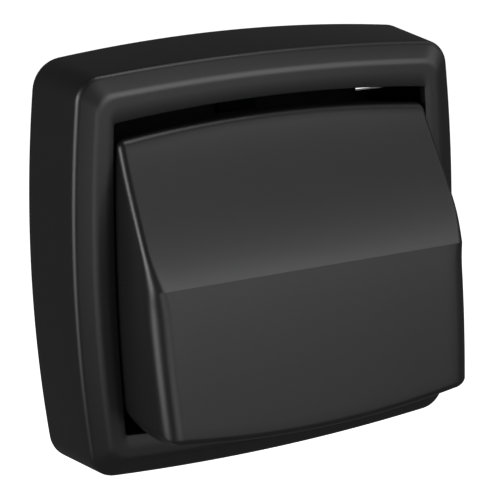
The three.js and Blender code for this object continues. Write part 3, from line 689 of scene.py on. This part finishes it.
def rib_tree():
    """A row of moulded ribs: rounded bars along Y set side by side along X."""
    tree, sizes, result = new_tree("moulded_ribs", [
        ("Count", "NodeSocketInt"), ("Pitch", "NodeSocketFloat"), ("Length", "NodeSocketFloat"),
        ("Radius", "NodeSocketFloat"), ("Place", "NodeSocketVector"),
        ("Material", "NodeSocketMaterial")])
    step = add(tree, "ShaderNodeCombineXYZ", links={"X": (sizes, "Pitch")})
    row = add(tree, "GeometryNodeMeshLine", links={
        "Count": (sizes, "Count"), "Offset": (step, "Vector"), "Start Location": (sizes, "Place")})
    end = add(tree, "ShaderNodeCombineXYZ", links={"Y": (sizes, "Length")})
    line = add(tree, "GeometryNodeCurvePrimitiveLine", links={"End": (end, "Vector")})
    bead = add(tree, "GeometryNodeCurvePrimitiveCircle", values={"Resolution": 12},
               links={"Radius": (sizes, "Radius")})
    bar = add(tree, "GeometryNodeCurveToMesh", values={"Fill Caps": True}, links={
        "Curve": (line, "Curve"), "Profile Curve": (bead, "Curve")})
    many = add(tree, "GeometryNodeInstanceOnPoints", links={
        "Points": (row, "Mesh"), "Instance": (bar, "Mesh")})
    real = add(tree, "GeometryNodeRealizeInstances", links={"Geometry": (many, "Instances")})
    coated = add(tree, "GeometryNodeSetMaterial", links={
        "Geometry": (real, "Geometry"), "Material": (sizes, "Material")})
    tree.links.new(coated.outputs["Geometry"], result.inputs["Geometry"])
    return tree


def box_screw_threads():
    """The thread on each of the two long screws that hold the switch in its wall box."""
    tree = thread_tree()
    length = (BOX_SCREW["end"] - BOX_SCREW["start"]) * MM
    for word, side in (("left", -1), ("right", 1)):
        thread = grown(f"box_screw_{word}_thread", tree, {
            "Radius": BOX_SCREW["core"] * MM, "Depth": BOX_SCREW["depth"] * MM,
            "Turns": length / (BOX_SCREW["pitch"] * MM), "Length": length,
            "Place": (side * BOX_SCREW["x"] * MM, BOX_SCREW["start"] * MM, BOX_SCREW["z"] * MM),
            "Material": zinc_plate})
        piece(thread, None, "base", "screw_zinc")


def housing_ribs():
    """A row of moulded ribs on the housing's top and one on its bottom."""
    tree = rib_tree()
    for word, z in (("top", HOUSING["top"]), ("bottom", HOUSING["bottom"])):
        ribs = grown(f"housing_ribs_{word}", tree, {
            "Count": RIBS["count"], "Pitch": RIBS["pitch"] * MM, "Radius": RIBS["radius"] * MM,
            "Length": (HOUSING["back"] - HOUSING["front"]) * MM,
            "Place": (RIBS["first_x"] * MM, HOUSING["front"] * MM, z * MM),
            "Material": housing_thermoset})
        piece(ribs, None, "base", "housing_thermoset")


cover_frame()
snap_ribs()
inner_rim()
rocker_cap()
rocker_webs()
box_screw_threads()
housing_ribs()

# material, slot, body, bevel in millimetres, nodes; round and thin nodes have no bevel
FINISHES = [
    (plate_steel, "plate_steel", "base", 0.2, ["mounting_plate"]),
    (spring_steel, "clip_steel", "base", 0.08, ["frame_clip_top", "frame_clip_bottom"]),
    (housing_thermoset, "housing_thermoset", "base", 0.25, ["mechanism_housing"]),
    (bearing_polyamide, "bearing_nylon", "base", 0.2, ["mechanism_cover"]),
    (zinc_plate, "screw_zinc", "base", 0.12, [
        "box_screw_left", "box_screw_right", "housing_rivet_left", "housing_rivet_right",
        "cover_screw_left", "cover_screw_right"]),
    (brass_strip, "contact_brass", "base", 0.1, ["upper_strip", "lower_strip", "common_strip"]),
    (silver_rivet, "contact_silver", "base", 0.12, ["upper_fixed_tip", "lower_fixed_tip"]),
    (spring_steel, "clip_steel", "rocker", 0.0, ["pivot_pin", "plunger_spring"]),
    (bearing_polyamide, "bearing_nylon", "rocker", 0.2, ["rocker_carrier"]),
    (bearing_polyamide, "bearing_nylon", "plunger", 0.0, ["plunger"]),
    (brass_strip, "contact_brass", "contact_lever", 0.1, ["contact_lever"]),
    (silver_rivet, "contact_silver", "contact_lever", 0.12, ["upper_moving_tip", "lower_moving_tip"]),
]
for material, slot, body, bevel, names in FINISHES:
    for name in names:
        finished(name, material, body, slot, bevel)
for terminal in ("upper", "lower", "common"):
    finished(f"{terminal}_clamp_cage", zinc_plate, f"{terminal}_clamp", "screw_zinc", 0.12)
    finished(f"{terminal}_terminal_screw", zinc_plate, f"{terminal}_screw", "screw_zinc", 0.1)

# ---------------------------------------------------------------- floor, lights and camera

# name, azimuth from the front towards the right, elevation, distance, width and height, watts
SOFTBOXES = [
    ("softbox_left_low", -85.0, -8.0, 1.6, 0.8, 0.7, 6.5),
    ("softbox_front_low", -15.0, -8.0, 1.6, 0.8, 0.7, 3.4),
    ("softbox_right_low", 20.0, -8.0, 1.6, 0.8, 0.7, 1.2),
    ("softbox_left", -85.0, 16.0, 1.6, 0.8, 0.7, 12.5),
    ("softbox_right_front", 20.0, 16.0, 1.6, 0.8, 0.7, 8.0),
    ("softbox_right", 55.0, 16.0, 1.6, 0.8, 0.7, 3.3),
    ("softbox_right_high", 20.0, 40.0, 1.6, 0.8, 0.7, 1.5),
    ("softbox_right_back", 95.0, 40.0, 1.6, 1.0, 0.9, 1.5),
    ("softbox_overhead", 70.0, 74.0, 1.6, 0.6, 0.6, 4.5),
]
WORLD_STRENGTH = 0.08
# these light only what lies behind the frame, so that the frame's own walls keep their dark sheen
REAR_SOFTBOXES = [
    ("softbox_rear_right", 150.0, 30.0, 1.4, 1.0, 0.9, 16.0),
    ("softbox_rear_left", 215.0, 20.0, 1.4, 1.0, 0.9, 22.0),
    ("softbox_rear_low", 185.0, -6.0, 1.4, 1.0, 0.5, 6.0),
]
FLOOR_RADIUS, FLOOR_Z = 9.0, -0.42  # metres
FRONT_PIECES = ("cover_frame_shell", "cover_frame_snap_ribs", "rocker_cap", "rocker_webs")



def heading(azimuth, elevation):
    """The direction at an azimuth, from the front towards the right, and an elevation, in radians."""
    return Vector((math.sin(azimuth) * math.cos(elevation), -math.cos(azimuth) * math.cos(elevation),
                   math.sin(elevation)))


scene = bpy.context.scene
scene.view_settings.view_transform = "Standard"

bm = bmesh.new()
bmesh.ops.create_circle(bm, cap_ends=True, radius=FLOOR_RADIUS, segments=96)
floor_mesh = bpy.data.meshes.new("studio_floor")
bm.to_mesh(floor_mesh)
bm.free()
floor = bpy.data.objects.new("studio_floor", floor_mesh)
floor.location = (0, 0, FLOOR_Z)
scene.collection.objects.link(floor)
# a light table: opal white that glows evenly, kept out of the glossy reflections
light_table = new_material(
    "floor_opal_light_table", {"Base Color": srgb("f7f7f7"), "Roughness": 0.9,
                               "Emission Color": srgb("ffffff"), "Emission Strength": 1.0})
floor_mesh.materials.append(light_table[0])
floor.visible_glossy = False

world = bpy.data.worlds.new("studio_room")
scene.world = world
world.use_nodes = True
background = world.node_tree.nodes["Background"]
background.inputs["Color"].default_value = srgb("ffffff")
ray = add(world.node_tree, "ShaderNodeLightPath")
glow = add(world.node_tree, "ShaderNodeMapRange", values={"To Min": WORLD_STRENGTH, "To Max": 1.0},
           links={"Value": (ray, "Is Camera Ray")})
world.node_tree.links.new(glow.outputs["Result"], background.inputs["Strength"])

behind = bpy.data.collections.new("behind_the_frame")
for thing in scene.objects:
    if thing.type == "MESH" and thing is not floor and thing.name not in FRONT_PIECES:
        behind.objects.link(thing)

for name, azimuth, elevation, distance, width, height, watts in SOFTBOXES + REAR_SOFTBOXES:
    lamp = bpy.data.lights.new(name, "AREA")
    lamp.shape = "RECTANGLE"
    lamp.size, lamp.size_y, lamp.energy = width, height, watts
    way = heading(math.radians(azimuth), math.radians(elevation))
    turn = way.to_track_quat("Z", "Y").to_matrix().to_4x4()
    softbox = bpy.data.objects.new(name, lamp)
    softbox.matrix_world = Matrix.Translation(way * distance) @ turn
    scene.collection.objects.link(softbox)
    if name.startswith("softbox_rear"):
        softbox.light_linking.receiver_collection = behind

camera = bpy.data.objects.new("camera", bpy.data.cameras.new("camera"))
scene.collection.objects.link(camera)
scene.camera = camera
AZIMUTH, ELEVATION, ROLL = math.radians(-28.574), math.radians(15.139), math.radians(-1.097)
TARGET, DISTANCE = Vector((3.505, 0.0, -3.173)), 352.26
back = heading(AZIMUTH, ELEVATION)
look = (-back).to_track_quat("-Z", "Y").to_matrix() @ Matrix.Rotation(ROLL, 3, "Z")
camera.matrix_world = Matrix.Translation((TARGET + back * DISTANCE) * MM) @ look.to_4x4()
camera.data.sensor_width = 36.0
camera.data.lens = 130.988
camera.data.clip_start = 0.01
camera.data.clip_end = 50.0
